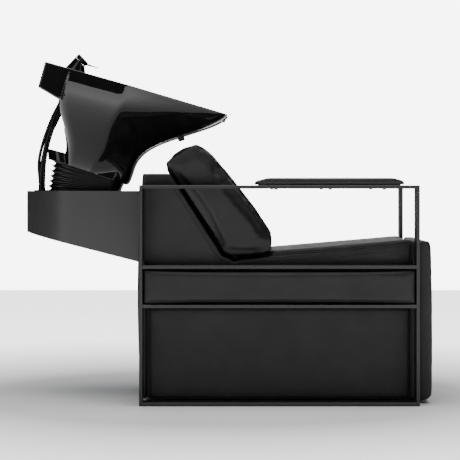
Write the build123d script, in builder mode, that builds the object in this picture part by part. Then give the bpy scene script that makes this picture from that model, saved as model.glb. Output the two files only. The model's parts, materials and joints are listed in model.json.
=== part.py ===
from build123d import *
import math
import os

# Backwash unit for a hair salon: a shampoo seat between two flat-bar frames, with a tilting
# ceramic basin on a sheet-steel bracket behind it. Millimetres. The origin is on the floor,
# in the middle of the overall length and width. +X points from the basin to the seat's front,
# +Z is up. The person in the seat faces +X, so their right hand is on the -Y side.

# ---------------------------------------------------------------- driving dimensions
SIDES = (("right", -1), ("left", 1))

# flat-bar side frames
BAR = 10.0                      # thickness of the flat bar
FRAME_REAR = -255.0
FRAME_FRONT = 574.0
FRAME_TOP = 652.0
FRAME_IN = 240.0                # inner edge of the bars, from the middle plane
FRAME_OUT = 310.0
LOWER_RAIL = 289.0              # underside of each middle rail
UPPER_RAIL = 405.0
WEB = 6.0                       # plate between the middle rails
INSIDE_REAR = FRAME_REAR + BAR
INSIDE_FRONT = FRAME_FRONT - BAR
EDGE_BREAK = 0.8

# carcass
BODY_HALF = 238.0               # outer face of the padded side panels
PANEL = 14.0                    # thickness of a padded side panel
BOARD = 18.0
BOARD_OUT = BODY_HALF - PANEL
BOARD_IN = BOARD_OUT - BOARD
BODY_REAR = -236.0
BODY_FRONT = 556.0
BASE_Z = 20.0
GAP = 0.4                       # between upholstered pieces

# seat and backrest
BACK_RAKE_TOP = (-158.0, 674.0)
BACK_RAKE_LOW = (-10.0, 442.0)
BODY_TOP = 687.0
SEAT_REAR = 28.0
SEAT_FRONT = FRAME_FRONT - GAP
SEAT_TOP_REAR = (136.0, 449.0)
SEAT_TOP_FRONT = (SEAT_FRONT, 485.0)
SEAM_DROP = 9.0                 # from the seat's top edge to the top of the side panels
BACK_HALF = 235.0

# front panel
APRON_BACK = FRAME_FRONT
APRON_FACE = 617.5
APRON_TOP = 488.0
APRON_LOW = 6.0

# basin bracket
SHEET = 3.0
BRACKET_TOP = 635.0
BRACKET_HALF = 150.0
BRACKET_TIP = -617.5
BRACKET_TIP_LOW = 510.0
BRACKET_SLOPE = 0.2565
BRACKET_CENTRE = BRACKET_TIP + BRACKET_HALF
FLANGE_FRONT = BODY_REAR
FLANGE = 8.0

# tilt hinge
PIVOT = (-362.0, 652.0)
PIN_R = 6.0
RUNNING = 0.05
EAR_R = 12.0

# basin, in its own plane: u runs forward along the rim, n is up out of the rim
RIM_TILT = 15.7
RIM_REAR = (-538.0, 1021.4)
BASIN_HALF = 250.0
DECK_DEPTH = 78.0
DRAIN_U = 190.0
DRAIN_HOLE_R = 22.5
BOWL_FLOOR_N = -212.0
FOOT_REAR = (-536.0, 729.5)
FOOT_FRONT = (-315.0, 656.0)

RIM = Plane(
    origin=(RIM_REAR[0], 0, RIM_REAR[1]),
    x_dir=(math.cos(math.radians(RIM_TILT)), 0, -math.sin(math.radians(RIM_TILT))),
    z_dir=(math.sin(math.radians(RIM_TILT)), 0, math.cos(math.radians(RIM_TILT))),
)
FOOT_TILT = math.degrees(math.atan2(FOOT_REAR[1] - FOOT_FRONT[1], FOOT_FRONT[0] - FOOT_REAR[0]))
FOOT = Plane(
    origin=(FOOT_FRONT[0], 0, FOOT_FRONT[1]),
    x_dir=(math.cos(math.radians(FOOT_TILT)), 0, -math.sin(math.radians(FOOT_TILT))),
    z_dir=(math.sin(math.radians(FOOT_TILT)), 0, math.cos(math.radians(FOOT_TILT))),
)


def save(part, name):
    """Label a finished piece and write its STEP file."""
    part.label = name
    export_step(part, f"parts/{name}.step")


def block(x0, x1, y0, y1, z0, z1, mode=Mode.ADD):
    """Add a box between two corners to the part that is being built, or cut it out."""
    with Locations(((x0 + x1) / 2, (y0 + y1) / 2, (z0 + z1) / 2)):
        Box(abs(x1 - x0), abs(y1 - y0), abs(z1 - z0), mode=mode)


def side_plane(y):
    """Plane of the side view at y, drawn in X and Z; it extrudes towards -Y."""
    return Plane(origin=(0, y, 0), x_dir=(1, 0, 0), z_dir=(0, -1, 0))


# ---------------------------------------------------------------- side frames
FRAME_BOLT_X = (-190.0, 60.0, 310.0, 505.0)
FRAME_BOLT_Z = 352.0
ARM_SCREW_X = (150.0, 311.0, 472.0)
ARM_SCREW_Y = (FRAME_IN + FRAME_OUT) / 2


def side_frames():
    """Each frame is six flat bars and a web plate, butted and welded."""
    bars = (
        (FRAME_REAR, INSIDE_REAR, 0, FRAME_TOP),
        (INSIDE_FRONT, FRAME_FRONT, 0, FRAME_TOP),
        (INSIDE_REAR, INSIDE_FRONT, 0, BAR),
        (INSIDE_REAR, INSIDE_FRONT, LOWER_RAIL, LOWER_RAIL + BAR),
        (INSIDE_REAR, INSIDE_FRONT, UPPER_RAIL, UPPER_RAIL + BAR),
    )
    middle = (FRAME_IN + FRAME_OUT) / 2
    for side, sign in SIDES:
        solids = []
        for x0, x1, z0, z1 in bars:
            with BuildPart() as bar:
                with Locations(((x0 + x1) / 2, sign * middle, (z0 + z1) / 2)):
                    Box(x1 - x0, FRAME_OUT - FRAME_IN, z1 - z0)
                along = Axis.X if x1 - x0 > z1 - z0 else Axis.Z
                chamfer(bar.edges().filter_by(along), EDGE_BREAK)
            solids.append(bar.part)
        with BuildPart() as top_rail:
            block(INSIDE_REAR, INSIDE_FRONT, sign * FRAME_IN, sign * FRAME_OUT, FRAME_TOP - BAR, FRAME_TOP)
            chamfer(top_rail.edges().filter_by(Axis.X), EDGE_BREAK)
            with Locations([(x, sign * ARM_SCREW_Y, FRAME_TOP) for x in ARM_SCREW_X]):
                Hole(3.3)
        solids.append(top_rail.part)
        with BuildPart() as web:
            block(
                INSIDE_REAR, INSIDE_FRONT,
                sign * FRAME_IN, sign * (FRAME_IN + WEB),
                LOWER_RAIL + BAR, UPPER_RAIL
            )
            with BuildSketch(side_plane(sign * (FRAME_IN + WEB / 2))):
                with Locations([(x, FRAME_BOLT_Z) for x in FRAME_BOLT_X]):
                    Circle(4.5)
            extrude(amount=WEB, both=True, mode=Mode.SUBTRACT)
        solids.append(web.part)
        save(Compound(children=solids), f"{side}_side_frame")


def frame_bolts():
    """M8 button-head bolts clamp the webs to the carcass, with washers and nuts inside it."""
    head_face = FRAME_IN + WEB
    bolts = []
    nuts = []
    for _, sign in SIDES:
        out = Plane(origin=(0, sign * head_face, 0), x_dir=(1, 0, 0), z_dir=(0, sign, 0))
        inside = Plane(origin=(0, sign * BOARD_IN, 0), x_dir=(1, 0, 0), z_dir=(0, -sign, 0))
        for x in FRAME_BOLT_X:
            with BuildPart() as bolt:
                with BuildSketch(out):
                    with Locations((x, sign * -FRAME_BOLT_Z)):
                        Circle(7.5)
                extrude(amount=4.4)
                fillet(bolt.edges().group_by(Axis.Y)[0 if sign < 0 else -1], 2.5)
                with BuildSketch(out):
                    with Locations((x, sign * -FRAME_BOLT_Z)):
                        Circle(4)
                extrude(amount=-(head_face - BOARD_IN + 12))
                with BuildSketch(out.offset(4.4)):
                    with Locations((x, sign * -FRAME_BOLT_Z)):
                        RegularPolygon(2.5, 6, major_radius=False)
                extrude(amount=-2.6, mode=Mode.SUBTRACT)
            bolts.append(bolt.part)
            with BuildPart() as nut:
                with BuildSketch(inside):
                    with Locations((x, sign * FRAME_BOLT_Z)):
                        Circle(12)
                        Circle(4.1, mode=Mode.SUBTRACT)
                extrude(amount=2)
                with BuildSketch(inside.offset(2)):
                    with Locations((x, sign * FRAME_BOLT_Z)):
                        RegularPolygon(6.5, 6, major_radius=False)
                        Circle(4.1, mode=Mode.SUBTRACT)
                extrude(amount=6.5)
            nuts.append(nut.part)
    save(Compound(children=bolts), "frame_bolts")
    save(Compound(children=nuts), "frame_nuts")


# ---------------------------------------------------------------- armrests and band cushions
ARM_REAR = 92.5
ARM_FRONT = 530.0
ARM_THICK = 20.0
ARM_INSET = 1.0
ARM_BOARD_THICK = 8.0
ARM_BOARD_INSET = 12.0
ARM_END = 32.0                  # length over which the ends of the pads slope down


def armrests():
    """Leather pads on the top rails, each over a plywood board held from below by three screws."""
    boards = []
    screws = []
    for side, sign in SIDES:
        low = sign * (FRAME_IN + ARM_INSET)
        high = sign * (FRAME_OUT - ARM_INSET)
        with BuildPart() as board:
            block(
                ARM_REAR + ARM_BOARD_INSET, ARM_FRONT - ARM_BOARD_INSET,
                low + sign * ARM_BOARD_INSET / 2, high - sign * ARM_BOARD_INSET / 2,
                FRAME_TOP, FRAME_TOP + ARM_BOARD_THICK,
            )
            with Locations([(x, sign * ARM_SCREW_Y, FRAME_TOP + ARM_BOARD_THICK) for x in ARM_SCREW_X]):
                Hole(3.1)
        boards.append(board.part)
        with BuildPart() as pad:
            with BuildSketch(side_plane(sign * ARM_SCREW_Y)) as outline:
                with BuildLine():
                    Polyline(
                        (ARM_REAR, FRAME_TOP), (ARM_REAR, FRAME_TOP + ARM_THICK * 0.55),
                        (ARM_REAR + ARM_END, FRAME_TOP + ARM_THICK),
                        (ARM_FRONT - ARM_END, FRAME_TOP + ARM_THICK),
                        (ARM_FRONT, FRAME_TOP + ARM_THICK * 0.55), (ARM_FRONT, FRAME_TOP),
                        close=True,
                    )
                make_face()
                fillet(outline.vertices().group_by(Axis.Y)[1:], 6)
            extrude(amount=(FRAME_OUT - FRAME_IN) / 2 - ARM_INSET, both=True)
            fillet(pad.faces().sort_by(Axis.Z)[-1].edges().filter_by(Axis.X), 4)
            block(
                ARM_REAR + ARM_BOARD_INSET - GAP, ARM_FRONT - ARM_BOARD_INSET + GAP,
                low + sign * (ARM_BOARD_INSET / 2 - GAP), high - sign * (ARM_BOARD_INSET / 2 - GAP),
                FRAME_TOP, FRAME_TOP + ARM_BOARD_THICK + GAP, mode=Mode.SUBTRACT,
            )
        save(pad.part, f"{side}_armrest_pad")
        for x in ARM_SCREW_X:
            with BuildPart(Plane.XY.offset(FRAME_TOP - BAR)) as screw:
                with Locations((x, sign * ARM_SCREW_Y, 0)):
                    Cylinder(5.25, 3.3, align=(Align.CENTER, Align.CENTER, Align.MAX))
                    Cylinder(3, BAR + 7, align=(Align.CENTER, Align.CENTER, Align.MIN))
            screws.append(screw.part)
    save(Compound(children=boards), "armrest_boards")
    save(Compound(children=screws), "armrest_screws")


BAND_BOARD_OUT = 270.0
BAND_FACE = 309.0


def band_cushions():
    """The padded band of each side frame, between the middle rails, on a board that clears the bolts."""
    boards = []
    for side, sign in SIDES:
        with BuildPart() as board:
            block(
                INSIDE_REAR + 2, INSIDE_FRONT - 2, sign * (FRAME_IN + WEB), sign * BAND_BOARD_OUT,
                LOWER_RAIL + BAR + 2, UPPER_RAIL - 2,
            )
            with BuildSketch(side_plane(sign * (FRAME_IN + WEB))):
                with Locations([(x, FRAME_BOLT_Z) for x in FRAME_BOLT_X]):
                    Circle(11)
            extrude(amount=30, both=True, mode=Mode.SUBTRACT)
        boards.append(board.part)
        with BuildPart() as cushion:
            block(
                INSIDE_REAR + GAP, INSIDE_FRONT - GAP, sign * BAND_BOARD_OUT, sign * BAND_FACE,
                LOWER_RAIL + BAR + GAP, UPPER_RAIL - GAP,
            )
            fillet(cushion.faces().sort_by(Axis.Y)[0 if sign < 0 else -1].edges(), 12)
        save(cushion.part, f"{side}_band_cushion")
    save(Compound(children=boards), "band_boards")


# ---------------------------------------------------------------- carcass
FLOOR_BOLT_X = (-150.0, 450.0)
FLOOR_BOLT_Y = 150.0
WASTE_R = 20.0
WASTE_X = -150.0
SUPPLY_R = 7.0
SUPPLY_Y = 34.0
PIPE_Z = 545.0
PIPE_HOLE_R = 56.0
BRACKET_BOLT_Y = 120.0
BRACKET_BOLT_Z = (450.0, 600.0)
SEAT_BOARD_TOP = 405.0
SEAT_BOARD = 15.0


def carcass():
    """Plywood box that carries the upholstery: two sides, a base, a back and a front."""
    sides = []
    battens = []
    for _, sign in SIDES:
        with BuildPart() as side_board:
            with BuildSketch(side_plane(sign * (BOARD_IN + BOARD / 2))) as outline:
                with BuildLine():
                    Polyline(
                        (BODY_REAR, BASE_Z), (BODY_FRONT, BASE_Z), (BODY_FRONT, SEAT_BOARD_TOP),
                        (10.0, SEAT_BOARD_TOP), (-22.0, 440.0), (-166.0, 665.0), (-172.0, 675.0),
                        (BODY_REAR, 675.0), close=True,
                    )
                make_face()
                with Locations([(x, FRAME_BOLT_Z) for x in FRAME_BOLT_X]):
                    Circle(4.5, mode=Mode.SUBTRACT)
            extrude(amount=BOARD / 2, both=True)
        sides.append(side_board.part)
        with BuildPart() as batten:
            with BuildSketch(side_plane(sign * (BOARD_OUT + FRAME_IN) / 2)):
                with Locations((160, FRAME_BOLT_Z)):
                    Rectangle(BODY_FRONT - BODY_REAR, 100)
                with Locations([(x, FRAME_BOLT_Z) for x in FRAME_BOLT_X]):
                    Circle(4.5, mode=Mode.SUBTRACT)
            extrude(amount=(FRAME_IN - BOARD_OUT) / 2, both=True)
        battens.append(batten.part)
    save(Compound(children=sides), "carcass_sides")
    save(Compound(children=battens), "frame_battens")

    with BuildPart() as base:
        block(BODY_REAR, BODY_FRONT, -BOARD_IN, BOARD_IN, BASE_Z, BASE_Z + BOARD)
        with Locations([(x, y, BASE_Z) for x in FLOOR_BOLT_X for y in (-FLOOR_BOLT_Y, FLOOR_BOLT_Y)]):
            Hole(6)
        with Locations((WASTE_X, 0, BASE_Z)):
            Hole(WASTE_R + 6)
        with Locations([(WASTE_X, y, BASE_Z) for y in (-2 * SUPPLY_Y, 2 * SUPPLY_Y)]):
            Hole(2 * SUPPLY_R)
    save(base.part, "carcass_base")

    back_plane = Plane(origin=(BODY_REAR, 0, 0), x_dir=(0, 1, 0), z_dir=(1, 0, 0))
    with BuildPart() as back:
        with BuildSketch(back_plane):
            with Locations((0, (BASE_Z + BOARD + 657) / 2)):
                Rectangle(2 * BOARD_IN, 657 - BASE_Z - BOARD)
            with Locations((0, PIPE_Z)):
                Circle(PIPE_HOLE_R, mode=Mode.SUBTRACT)
            with Locations([(y, z) for y in (-BRACKET_BOLT_Y, BRACKET_BOLT_Y) for z in BRACKET_BOLT_Z]):
                Circle(5.5, mode=Mode.SUBTRACT)
        extrude(amount=BOARD)
    save(back.part, "carcass_back")

    with BuildPart() as front:
        block(
            BODY_FRONT - BOARD, BODY_FRONT, -BOARD_IN, BOARD_IN,
            BASE_Z + BOARD, SEAT_BOARD_TOP - SEAT_BOARD,
        )
    save(front.part, "carcass_front")

    with BuildPart() as top_rail:
        block(BODY_REAR, BODY_REAR + 62, -BOARD_IN, BOARD_IN, 657, 675)
    save(top_rail.part, "carcass_top_rail")

    with BuildPart() as seat_board:
        block(0, BODY_FRONT, -BOARD_IN, BOARD_IN, SEAT_BOARD_TOP - SEAT_BOARD, SEAT_BOARD_TOP)
        with GridLocations(180, 220, 3, 2):
            with Locations((280, 0, SEAT_BOARD_TOP)):
                Hole(8)
    save(seat_board.part, "seat_board")


def seat_seam(x):
    """Height of the seam along the seat's side at x."""
    rise = (SEAT_TOP_FRONT[1] - SEAT_TOP_REAR[1]) / (SEAT_TOP_FRONT[0] - SEAT_TOP_REAR[0])
    return SEAT_TOP_REAR[1] - SEAM_DROP + rise * (x - SEAT_TOP_REAR[0])


def side_panels():
    """Padded leather panels on the carcass sides, above and below the frame's middle rails."""
    for side, sign in SIDES:
        outside = Axis.Y if sign > 0 else -Axis.Y
        with BuildPart() as lower:
            block(-232, 552, sign * BOARD_OUT, sign * BODY_HALF, 13, LOWER_RAIL - 2)
            fillet(lower.faces().sort_by(outside)[-1].edges(), 9)
        save(lower.part, f"{side}_lower_side_panel")
        with BuildPart() as upper:
            with BuildSketch(side_plane(sign * (BOARD_OUT + BODY_HALF) / 2)) as outline:
                with BuildLine():
                    Polyline(
                        (INSIDE_REAR - 3, UPPER_RAIL + 1), (BODY_FRONT - 2, UPPER_RAIL + 1),
                        (BODY_FRONT - 2, seat_seam(BODY_FRONT - 2)),
                        (SEAT_TOP_REAR[0], seat_seam(SEAT_TOP_REAR[0])),
                        (SEAT_REAR, 424), BACK_RAKE_LOW, BACK_RAKE_TOP, (-166, BODY_TOP),
                        (INSIDE_REAR - 3, BODY_TOP), close=True,
                    )
                make_face()
                fillet(outline.vertices().sort_by_distance(Vertex(INSIDE_REAR, sign * 231, BODY_TOP))[0], 20)
            extrude(amount=PANEL / 2, both=True)
            fillet(upper.faces().sort_by(outside)[-1].edges().group_by(Axis.Z)[-1], 6)
        save(upper.part, f"{side}_upper_side_panel")


def rear_and_top():
    """Padded rear panel, cut out round the bracket, and the padded shelf behind the backrest."""
    with BuildPart() as rear:
        with BuildSketch(side_plane(0)) as outline:
            with BuildLine():
                edge = Polyline((-248.4, BODY_TOP), (BODY_REAR, BODY_TOP), (BODY_REAR, 13), (-252, 13))
                ThreePointArc(edge @ 1, (-264.0, 340.0), edge @ 0)
            make_face()
        extrude(amount=BOARD_OUT - GAP, both=True)
        block(
            -280, BODY_REAR + 1, -BRACKET_HALF - 2, BRACKET_HALF + 2, 398, BRACKET_TOP + 3,
            mode=Mode.SUBTRACT,
        )
    save(rear.part, "rear_panel")
    with BuildPart() as shelf:
        block(BODY_REAR + GAP, -168, -BOARD_OUT + GAP, BOARD_OUT - GAP, 675, BODY_TOP)
        fillet(shelf.faces().sort_by(Axis.Z)[-1].edges().filter_by(Axis.Y), 4)
    save(shelf.part, "top_panel")


def front_apron():
    """Padded front panel that runs from the seat's edge to just above the floor."""
    with BuildPart() as board:
        block(BODY_FRONT, APRON_BACK, -BOARD_OUT + 4, BOARD_OUT - 4, 16, SEAT_BOARD_TOP)
    save(board.part, "front_panel_board")
    with BuildPart() as apron:
        with BuildSketch(side_plane(0)) as outline:
            with BuildLine():
                line = Polyline(
                    (APRON_FACE - 6, APRON_TOP), (APRON_BACK, APRON_TOP),
                    (APRON_BACK, APRON_LOW), (APRON_FACE - 3.5, APRON_LOW),
                )
                ThreePointArc(line @ 1, (APRON_FACE, 250), line @ 0)
            make_face()
            fillet(outline.vertices().sort_by_distance(Vertex(APRON_FACE, 0, APRON_TOP))[0], 22)
            fillet(outline.vertices().sort_by_distance(Vertex(APRON_FACE, 0, APRON_LOW))[0], 10)
        extrude(amount=BODY_HALF, both=True)
        arcs = apron.edges().filter_by(GeomType.CIRCLE)
        fillet(arcs.filter_by_position(Axis.X, APRON_FACE - 8, APRON_FACE + 1), 5)
    save(apron.part, "front_panel")


# ---------------------------------------------------------------- seat and backrest
def seat():
    """Wedge seat cushion: its core sits between the side panels, its top laps over them."""
    with BuildPart() as cushion:
        with BuildSketch(side_plane(0)):
            with BuildLine():
                Polyline(
                    (SEAT_REAR, SEAT_BOARD_TOP), (SEAT_FRONT, SEAT_BOARD_TOP), SEAT_TOP_FRONT, SEAT_TOP_REAR,
                    (100, 437), (SEAT_REAR, 430), close=True,
                )
            make_face()
        extrude(amount=BOARD_OUT - GAP, both=True)
        with BuildSketch(side_plane(0)):
            with BuildLine():
                Polyline(
                    (SEAT_TOP_REAR[0], seat_seam(SEAT_TOP_REAR[0]) + GAP),
                    (SEAT_FRONT, seat_seam(SEAT_FRONT) + GAP),
                    SEAT_TOP_FRONT, SEAT_TOP_REAR, close=True,
                )
            make_face()
        extrude(amount=BODY_HALF - GAP, both=True)
    save(cushion.part, "seat_cushion")


def backrest():
    """Wedge backrest cushion on an inclined plywood board."""
    rake = math.degrees(math.atan2(BACK_RAKE_TOP[1] - BACK_RAKE_LOW[1], BACK_RAKE_LOW[0] - BACK_RAKE_TOP[0]))
    board_plane = Plane(
        origin=(BACK_RAKE_LOW[0], 0, BACK_RAKE_LOW[1]),
        x_dir=(-math.cos(math.radians(rake)), 0, math.sin(math.radians(rake))),
        z_dir=(math.sin(math.radians(rake)), 0, math.cos(math.radians(rake))),
    )
    length = math.dist(BACK_RAKE_TOP, BACK_RAKE_LOW)
    with BuildPart() as board:
        with BuildSketch(board_plane.offset(-18)):
            with Locations((length / 2 + 4, 0)):
                Rectangle(length - 16, 2 * BOARD_IN)
        extrude(amount=15)
    save(board.part, "back_board")
    with BuildPart() as cushion:
        with BuildSketch(side_plane(0)) as outline:
            with BuildLine():
                Polyline(
                    (-181, 720), (-91, 777), (-50, 743), (-8, 696), (82, 581), (142, 490), (137, 455),
                    (110, 446), (18, 440), (-2, 447), (-164, 690), close=True,
                )
            make_face()
            fillet(outline.vertices().sort_by_distance(Vertex(-181, 0, 720))[0], 10)
            fillet(outline.vertices().sort_by_distance(Vertex(-91, 0, 777))[0], 14)
        extrude(amount=BACK_HALF, both=True)
        split(bisect_by=Plane.XY.offset(437), keep=Keep.TOP)
    save(cushion.part, "backrest_cushion")


# ---------------------------------------------------------------- basin bracket
HOSE_X = -572.0
HOSE_Y = (-62.0, -38.0, -12.0, 62.0)
HOSE_R = 5.0
WASTE_TOP_X = -437.0
TOP_PLATE = 4.0


def bracket_outline(radius, mode=Mode.ADD):
    """Plan of the bracket: straight sides that run into a half-round end."""
    with BuildLine() as outline:
        sides = Polyline(
            (BRACKET_CENTRE, radius), (FLANGE_FRONT - FLANGE, radius),
            (FLANGE_FRONT - FLANGE, -radius), (BRACKET_CENTRE, -radius),
        )
        ThreePointArc(sides @ 1, (BRACKET_CENTRE - radius, 0), sides @ 0)
    make_face(outline.edges(), mode=mode)


def bracket_slope(drop):
    """Plane of the bracket's sloping lower edge, moved down square to itself by drop."""
    tilt = math.atan(BRACKET_SLOPE)
    return Plane(
        origin=(BRACKET_TIP - drop * math.sin(tilt), 0, BRACKET_TIP_LOW - drop * math.cos(tilt)),
        x_dir=(math.cos(tilt), 0, -math.sin(tilt)),
        z_dir=(math.sin(tilt), 0, math.cos(tilt)),
    )


def bracket():
    """Sheet-steel bracket: a bent skirt welded to a flange, with a top plate and a sloping cover."""
    with BuildPart() as skirt:
        with BuildSketch(Plane.XY.offset(BRACKET_TOP)):
            bracket_outline(BRACKET_HALF)
            bracket_outline(BRACKET_HALF - SHEET, mode=Mode.SUBTRACT)
        extrude(amount=-240)
        split(bisect_by=bracket_slope(0), keep=Keep.TOP)
    save(skirt.part, "bracket_skirt")

    room = BRACKET_HALF - SHEET - 0.2
    with BuildPart() as top_plate:
        with BuildSketch(Plane.XY.offset(BRACKET_TOP - 0.5)):
            bracket_outline(room)
            with Locations((WASTE_TOP_X, 0)):
                Circle(36, mode=Mode.SUBTRACT)
            with Locations((HOSE_X, 0)):
                SlotCenterToCenter(2 * HOSE_Y[3], 28, rotation=90, mode=Mode.SUBTRACT)
        extrude(amount=-TOP_PLATE)
    save(top_plate.part, "bracket_top_plate")

    with BuildPart() as cover:
        with BuildSketch(Plane.XY.offset(BRACKET_TOP - 20)):
            bracket_outline(room)
        extrude(amount=-220)
        split(bisect_by=bracket_slope(-4), keep=Keep.TOP)
        split(bisect_by=bracket_slope(-6), keep=Keep.BOTTOM)
    save(cover.part, "bracket_bottom_cover")

    flange_plane = Plane(origin=(FLANGE_FRONT, 0, 0), x_dir=(0, 1, 0), z_dir=(1, 0, 0))
    with BuildPart() as flange:
        with BuildSketch(flange_plane):
            with Locations((0, (402 + BRACKET_TOP) / 2)):
                Rectangle(2 * BRACKET_HALF, BRACKET_TOP - 402)
            with Locations((0, PIPE_Z)):
                Circle(PIPE_HOLE_R, mode=Mode.SUBTRACT)
            with Locations([(y, z) for y in (-BRACKET_BOLT_Y, BRACKET_BOLT_Y) for z in BRACKET_BOLT_Z]):
                Circle(5.5, mode=Mode.SUBTRACT)
        extrude(amount=-FLANGE)
    save(flange.part, "bracket_flange")

    bolts = []
    nuts = []
    head = Plane(origin=(FLANGE_FRONT - FLANGE, 0, 0), x_dir=(0, 1, 0), z_dir=(1, 0, 0))
    for y in (-BRACKET_BOLT_Y, BRACKET_BOLT_Y):
        for z in BRACKET_BOLT_Z:
            with BuildPart() as bolt:
                with BuildSketch(head):
                    with Locations((y, z)):
                        RegularPolygon(8, 6, major_radius=False)
                extrude(amount=-6.4)
                with BuildSketch(head):
                    with Locations((y, z)):
                        Circle(5)
                extrude(amount=FLANGE + BOARD + 14)
            bolts.append(bolt.part)
            with BuildPart() as nut:
                with BuildSketch(head.offset(FLANGE + BOARD)):
                    with Locations((y, z)):
                        RegularPolygon(8, 6, major_radius=False)
                        Circle(5.1, mode=Mode.SUBTRACT)
                extrude(amount=8)
            nuts.append(nut.part)
    save(Compound(children=bolts), "bracket_bolts")
    save(Compound(children=nuts), "bracket_nuts")

    with BuildPart() as grommet:
        with BuildSketch(Plane.XY.offset(BRACKET_TOP - 0.5)):
            with Locations((HOSE_X, 0)):
                SlotCenterToCenter(2 * HOSE_Y[3], 36, rotation=90)
        extrude(amount=3.5)
        with BuildSketch(Plane.XY.offset(BRACKET_TOP - 0.5)):
            with Locations((HOSE_X, 0)):
                SlotCenterToCenter(2 * HOSE_Y[3], 27.6, rotation=90)
        extrude(amount=-TOP_PLATE - 2)
        with Locations([(HOSE_X, y, BRACKET_TOP + 3) for y in HOSE_Y]):
            Hole(HOSE_R + 1)
    save(grommet.part, "hose_grommet")


# ---------------------------------------------------------------- tilt hinge
BASE_EAR_Y = (50.0, 58.0)
PLATE_EAR_Y = (42.0, 49.4)
HINGE_PLATE = 5.0


def tilt_hinge():
    """Friction hinge under the basin: base ears on the bracket, plate ears on the basin's foot."""
    with BuildPart() as base:
        block(-505, -340, -62, 62, BRACKET_TOP - 0.5, BRACKET_TOP + 3.5)
        with Locations((WASTE_TOP_X, 0, BRACKET_TOP + 3.5)):
            Hole(36)
        for y0, y1 in (BASE_EAR_Y, (-BASE_EAR_Y[1], -BASE_EAR_Y[0])):
            with BuildSketch(side_plane((y0 + y1) / 2)):
                with Locations(PIVOT):
                    Circle(EAR_R)
                with Locations((PIVOT[0], (PIVOT[1] + BRACKET_TOP + 3) / 2)):
                    Rectangle(2 * EAR_R, PIVOT[1] - BRACKET_TOP - 3)
            extrude(amount=(y1 - y0) / 2, both=True)
        with BuildSketch(side_plane(0)):
            with Locations(PIVOT):
                Circle(PIN_R + RUNNING)
        extrude(amount=70, both=True, mode=Mode.SUBTRACT)
    save(base.part, "tilt_base")

    with BuildPart() as pin:
        with BuildSketch(side_plane(0)):
            with Locations(PIVOT):
                Circle(PIN_R)
        extrude(amount=74, both=True)
    save(pin.part, "tilt_pin")

    nuts = []
    for _, sign in SIDES:
        start = Plane(origin=(0, sign * (BASE_EAR_Y[1] + 0.1), 0), x_dir=(1, 0, 0), z_dir=(0, sign, 0))
        with BuildPart() as nut:
            with BuildSketch(start):
                with Locations((PIVOT[0], -sign * PIVOT[1])):
                    Circle(11)
                    Circle(PIN_R, mode=Mode.SUBTRACT)
            extrude(amount=2)
            with BuildSketch(start.offset(2)):
                with Locations((PIVOT[0], -sign * PIVOT[1])):
                    RegularPolygon(9.5, 6, major_radius=False)
                    Circle(PIN_R, mode=Mode.SUBTRACT)
            extrude(amount=9)
        nuts.append(nut.part)
    save(Compound(children=nuts), "tilt_pin_nuts")

    drain_on_foot = FOOT.to_local_coords(drain_point(-270)).X
    with BuildPart() as plate:
        with BuildSketch(FOOT):
            with Locations((-112, 0)):
                RectangleRounded(172, 180, 12)
            with Locations((drain_on_foot, 0)):
                Circle(34, mode=Mode.SUBTRACT)
            with Locations(*[(x, y) for x in FOOT_BOLT_X for y in (-FOOT_BOLT_Y, FOOT_BOLT_Y)]):
                Circle(3.5, mode=Mode.SUBTRACT)
        extrude(amount=-HINGE_PLATE)
        for y0, y1 in (PLATE_EAR_Y, (-PLATE_EAR_Y[1], -PLATE_EAR_Y[0])):
            with BuildSketch(side_plane((y0 + y1) / 2)):
                with Locations(PIVOT):
                    Circle(EAR_R)
                with Locations((PIVOT[0], PIVOT[1] + 8)):
                    Rectangle(2 * EAR_R, 16)
            extrude(amount=(y1 - y0) / 2, both=True)
        with BuildSketch(side_plane(0)):
            with Locations(PIVOT):
                Circle(PIN_R + RUNNING)
        extrude(amount=70, both=True, mode=Mode.SUBTRACT)
        split(bisect_by=FOOT, keep=Keep.BOTTOM)
    save(plate.part, "tilt_plate")

    bolts = []
    for x in FOOT_BOLT_X:
        for y in (-FOOT_BOLT_Y, FOOT_BOLT_Y):
            with BuildPart() as bolt:
                with BuildSketch(FOOT.offset(-HINGE_PLATE)):
                    with Locations((x, y)):
                        RegularPolygon(5, 6, major_radius=False)
                extrude(amount=-4)
                with BuildSketch(FOOT.offset(-HINGE_PLATE)):
                    with Locations((x, y)):
                        Circle(3)
                extrude(amount=HINGE_PLATE + 18)
            bolts.append(bolt.part)
    save(Compound(children=bolts), "tilt_plate_bolts")


BELLOWS_WALL = 4.0
BELLOWS_HALF = 105.0


def bellows_section(plane, x0, x1, inset):
    """Rounded rectangle of the bellows on a plane, between two places along it."""
    with BuildSketch(plane) as section:
        with Locations(((x0 + x1) / 2, 0)):
            RectangleRounded(x1 - x0 - 2 * inset, 2 * (BELLOWS_HALF - inset), 60 - inset)
    return section.sketch


def bellows():
    """Fan-shaped rubber bellows between the bracket's top and the basin's foot."""
    length = math.dist(FOOT_REAR, FOOT_FRONT)
    foot_plane = FOOT.offset(-GAP)
    low = Plane.XY.offset(BRACKET_TOP)
    outer = [bellows_section(low, -551, -326, 0), bellows_section(foot_plane, 2 - length, -2, 0)]
    inner = [
        bellows_section(low.offset(-0.01), -551, -326, BELLOWS_WALL),
        bellows_section(foot_plane.offset(0.01), 2 - length, -2, BELLOWS_WALL),
    ]
    with BuildPart() as gaiter:
        loft(sections=outer, ruled=True)
        loft(sections=inner, ruled=True, mode=Mode.SUBTRACT)
    save(gaiter.part, "bellows")


# ---------------------------------------------------------------- basin
FOOT_BOLT_X = (-186.0, -40.0)
FOOT_BOLT_Y = 84.0
DECK_EDGE = 12.0
MIXER_U = 66.0
SHANK_R = 20.0
SHOWER_U = 60.0
SHOWER_Y = 110.0
HOLDER_R = 17.0
NECK_R = 100.0                  # notch for the neck: a round cut along u
NECK_CENTRE_N = 76.0

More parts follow.
